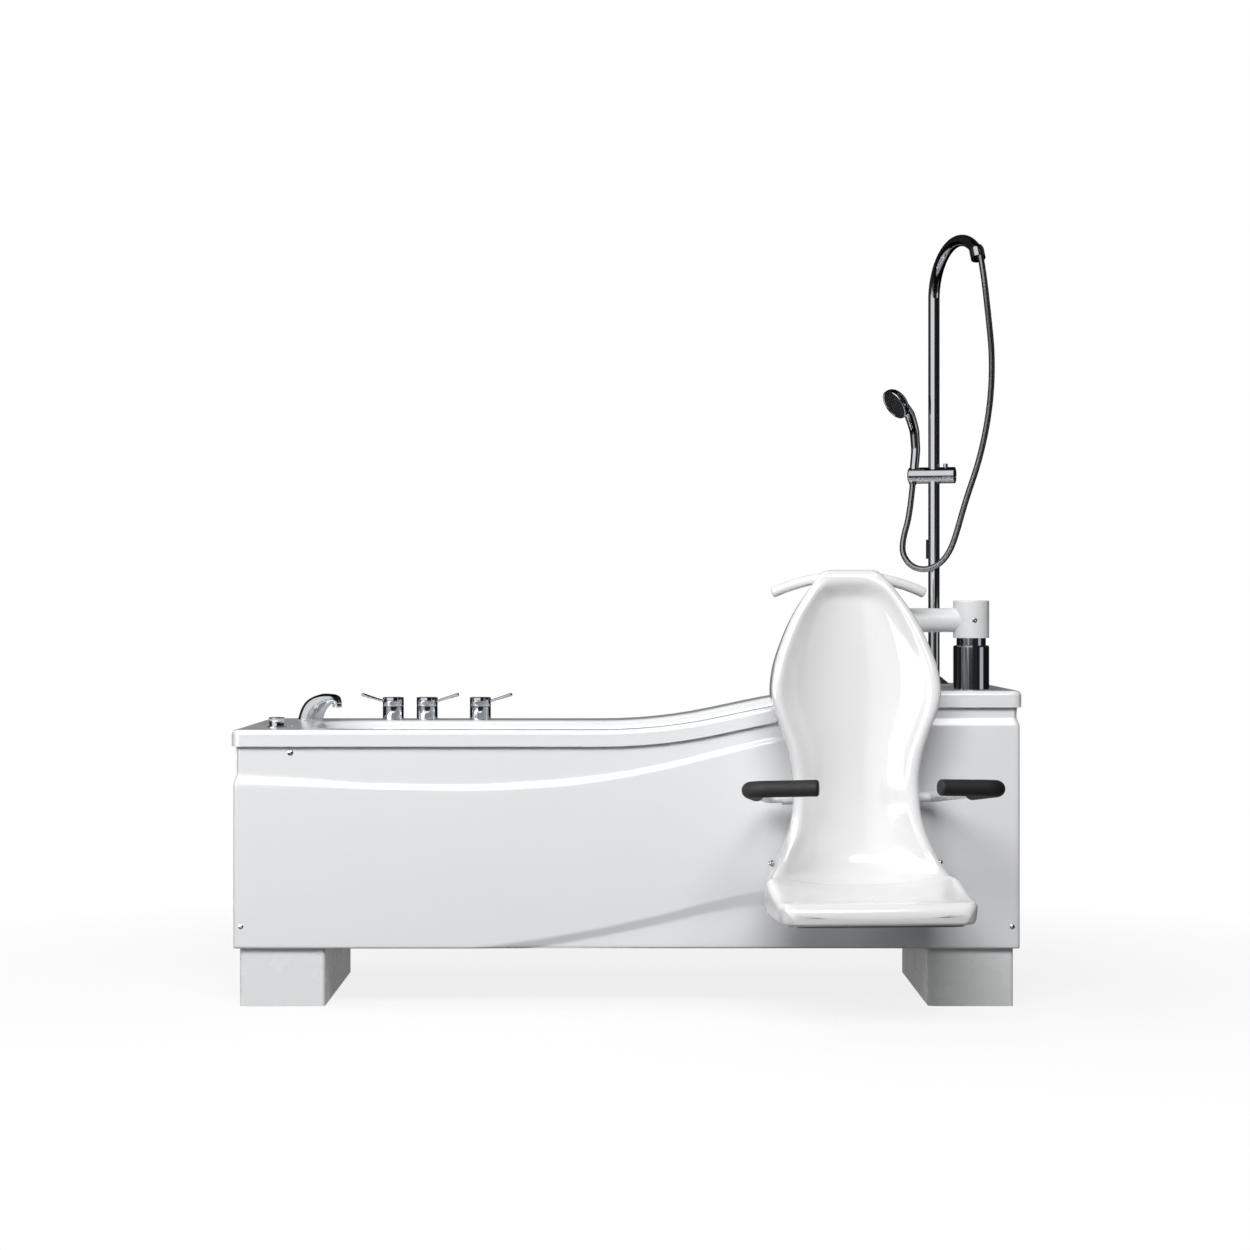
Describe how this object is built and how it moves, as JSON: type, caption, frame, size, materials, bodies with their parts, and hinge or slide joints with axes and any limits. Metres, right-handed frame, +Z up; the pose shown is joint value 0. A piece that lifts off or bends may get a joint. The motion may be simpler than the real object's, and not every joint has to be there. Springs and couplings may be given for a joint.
{
  "type": "height-adjustable assisted bath",
  "caption": "White height-adjustable assisted bath on two lifting pedestals, with a swivelling transfer seat on a lift post, taps, spout and a shower riser.",
  "frame": {"origin": "middle of the four floor fixing holes, at floor level", "axes": "+X along the bath from the foot end to the head end with the seat post, +Y from the open front side to the back, +Z up"},
  "size_m": [1.9, 1.3153, 1.9229],
  "materials": {
    "acrylic": "white gloss sanitary acrylic",
    "moulded_seat": "white gloss glass-fibre moulding",
    "white_paint": "white powder coat, satin gloss",
    "chrome": "polished chrome plate",
    "steel": "zinc-plated and stainless steel, satin",
    "foam": "black closed-cell foam grip, matt",
    "rubber": "black rubber, matt",
    "dark_plastic": "dark grey plastic",
    "grey_plastic": "light grey plastic"
  },
  "bodies": {
    "base": {"base_pads": "rubber", "base_plates": "steel", "pedestal_foot": "white_paint", "pedestal_head": "white_paint", "column_tube_foot": "steel", "column_tube_head": "steel", "lift_screw_foot": "steel", "lift_screw_head": "steel"},
    "bath": {"bath_tub": "acrylic", "front_panel": "acrylic", "back_panel": "acrylic", "end_panel_foot": "acrylic", "end_panel_head": "acrylic", "corner_angles": "steel", "panel_screws": "chrome", "column_ram_foot": "steel", "column_ram_head": "steel", "chassis": "steel", "straps": "steel", "post_bracket": "steel", "post_sleeve": "chrome", "post_bushes": "grey_plastic", "valve_bodies": "chrome", "spout": "chrome", "spout_ring": "dark_plastic", "waste_body": "chrome", "knob_base": "chrome", "back_nuts": "steel", "deck_sensor": "grey_plastic", "riser_pipe": "chrome", "riser_rosette": "chrome", "riser_clip": "dark_plastic", "hose_bell": "chrome", "shower_hose": "chrome"},
    "post": {"post_ram": "chrome"},
    "seat": {"post_head": "white_paint", "head_screw": "chrome", "seat_arm": "white_paint", "arm_bracket": "white_paint", "seat_spine": "white_paint", "seat_shell": "moulded_seat", "seat_bolts": "chrome", "seat_plate": "steel", "push_handle": "white_paint", "armrest_crossbar": "white_paint"},
    "left_armrest": {"armrest_left": "white_paint", "armrest_grip_left": "foam"},
    "right_armrest": {"armrest_right": "white_paint", "armrest_grip_right": "foam"},
    "shower_valve": {"valve_handle_shower": "chrome"},
    "hot_valve": {"valve_handle_hot": "chrome"},
    "cold_valve": {"valve_handle_cold": "chrome"},
    "knob": {"waste_knob": "chrome"},
    "plug": {"waste_plug": "chrome"},
    "shower_slider": {"slider": "chrome", "slider_cap": "dark_plastic", "handset": "chrome", "spray_plate": "dark_plastic"},
    "clamp_knob": {"slider_knob": "chrome"}
  },
  "joints": [
    {"name": "bath_lift", "type": "slide", "parent": "base", "child": "bath", "axis": [0, 0, 1], "range_m": [0, 0.28]},
    {"name": "seat_lift", "type": "slide", "parent": "bath", "child": "post", "axis": [0, 0, 1], "range_m": [0, 0.53]},
    {"name": "seat_swivel", "type": "hinge", "parent": "post", "child": "seat", "pos_m": [0.837, -0.31, 0.93], "axis": [0, 0, 1], "range_deg": [-5, 80]},
    {"name": "armrest_left_fold", "type": "hinge", "parent": "seat", "child": "left_armrest", "pos_m": [0.53271, -0.4576, 0.508], "axis": [-0.9962, -0.0872, 0], "range_deg": [0, 65]},
    {"name": "armrest_right_fold", "type": "hinge", "parent": "seat", "child": "right_armrest", "pos_m": [0.53271, -0.4576, 0.508], "axis": [-0.9962, -0.0872, 0], "range_deg": [0, 65]},
    {"name": "shower_valve_turn", "type": "hinge", "parent": "bath", "child": "shower_valve", "pos_m": [-0.613, 0.31, 0.71], "axis": [0, 0, 1], "range_deg": [0, 90]},
    {"name": "hot_valve_turn", "type": "hinge", "parent": "bath", "child": "hot_valve", "pos_m": [-0.524, 0.31, 0.71], "axis": [0, 0, -1], "range_deg": [0, 90]},
    {"name": "cold_valve_turn", "type": "hinge", "parent": "bath", "child": "cold_valve", "pos_m": [-0.384, 0.31, 0.71], "axis": [0, 0, -1], "range_deg": [0, 90]},
    {"name": "waste_knob_turn", "type": "hinge", "parent": "bath", "child": "knob", "pos_m": [-0.856, -0.25, 0.68], "axis": [0, 0, 1], "range_deg": [0, 90]},
    {"name": "waste_plug_lift", "type": "slide", "parent": "bath", "child": "plug", "axis": [0, 0, 1], "range_m": [0, 0.012]},
    {"name": "shower_slide", "type": "slide", "parent": "bath", "child": "shower_slider", "axis": [0, 0, 1], "range_m": [-0.14, 0.3], "deforming": ["shower_hose"]},
    {"name": "clamp_knob_turn", "type": "hinge", "parent": "shower_slider", "child": "clamp_knob", "pos_m": [0.8375, 0.2904, 1.33], "axis": [0, 0, 1], "range_deg": [0, 90]}
  ],
  "couplings": [
    {"joint": "waste_plug_lift", "follows": "waste_knob_turn", "m_per_rad": 0.0076}
  ]
}
